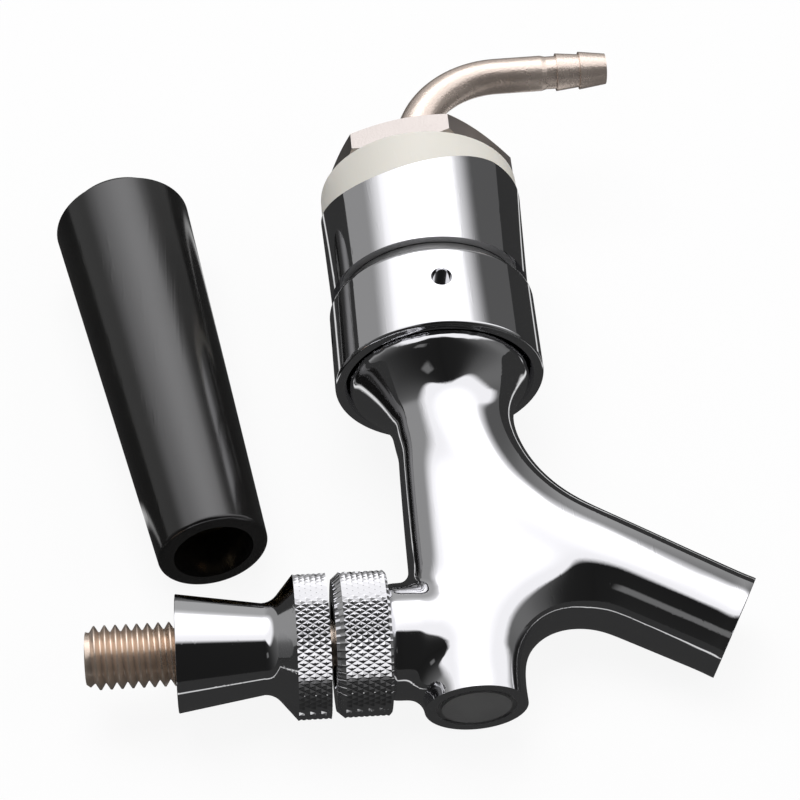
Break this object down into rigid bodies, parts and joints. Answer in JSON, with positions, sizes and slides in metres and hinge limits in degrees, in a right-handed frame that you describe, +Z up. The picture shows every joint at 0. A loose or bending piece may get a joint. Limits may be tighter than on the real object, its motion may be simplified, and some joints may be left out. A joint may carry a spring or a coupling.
{
  "type": "beer faucet with shank",
  "caption": "Chrome beer faucet with a curved spout, knurled lever, round coupling nut, tower shank with saddle flange, hex nut and barbed elbow; black lever handle beside it.",
  "frame": {"origin": "middle of the whole set's box, on the table that it lies on", "axes": "+Y along the shank towards the column side, +X towards the spout, +Z up from the table; the faucet lies on its side, on the coupling nut, the bonnet and the spout's tip"},
  "size_m": [0.109, 0.1268, 0.0393],
  "materials": {
    "chrome": "mirror plated",
    "nickel": "warm plated, lightly worn",
    "satin_nickel": "satin plated",
    "dull_steel": "dull",
    "brass": "turned",
    "rubber": "matt",
    "nylon": "waxy moulded",
    "black_plastic": "moulded gloss"
  },
  "bodies": {
    "faucet": {"faucet_body": "chrome", "front_plug": "dull_steel", "bonnet": "chrome", "ball_washer": "nylon", "friction_ring": "nickel", "coupling_washer": "rubber", "coupling_nut": "chrome", "slip_ring": "dull_steel", "shank": "nickel", "saddle_collar": "chrome", "saddle_washer": "nylon", "lock_nut": "satin_nickel", "elbow_tailpiece": "nickel"},
    "lever": {"lever": "nickel"},
    "collar": {"lever_collar": "chrome"},
    "valve": {"valve_shaft": "brass", "seat_washer": "rubber", "shaft_nut": "brass"},
    "handle": {"handle_grip": "black_plastic", "handle_insert": "brass"}
  },
  "joints": [
    {"name": "lever_swing", "type": "hinge", "parent": "faucet", "child": "lever", "pos_m": [-0.00268, -0.051, 0.01088], "axis": [0.0489, -0.142, 0.9887], "range_deg": [0, 20]},
    {"name": "valve_slide", "type": "slide", "parent": "faucet", "child": "valve", "axis": [0, 0.9898, 0.1422], "range_m": [0, 0.0043]},
    {"name": "collar_travel", "type": "slide", "parent": "lever", "child": "collar", "axis": [-0.9988, -0.007, 0.0484], "range_m": [0, 0.01]},
    {"name": "handle_lift", "type": "slide", "parent": "faucet", "child": "handle", "axis": [0, 0, 1], "range_m": [0, 0.05]}
  ],
  "couplings": [
    {"joint": "valve_slide", "follows": "lever_swing", "m_per_rad": 0.01227}
  ]
}
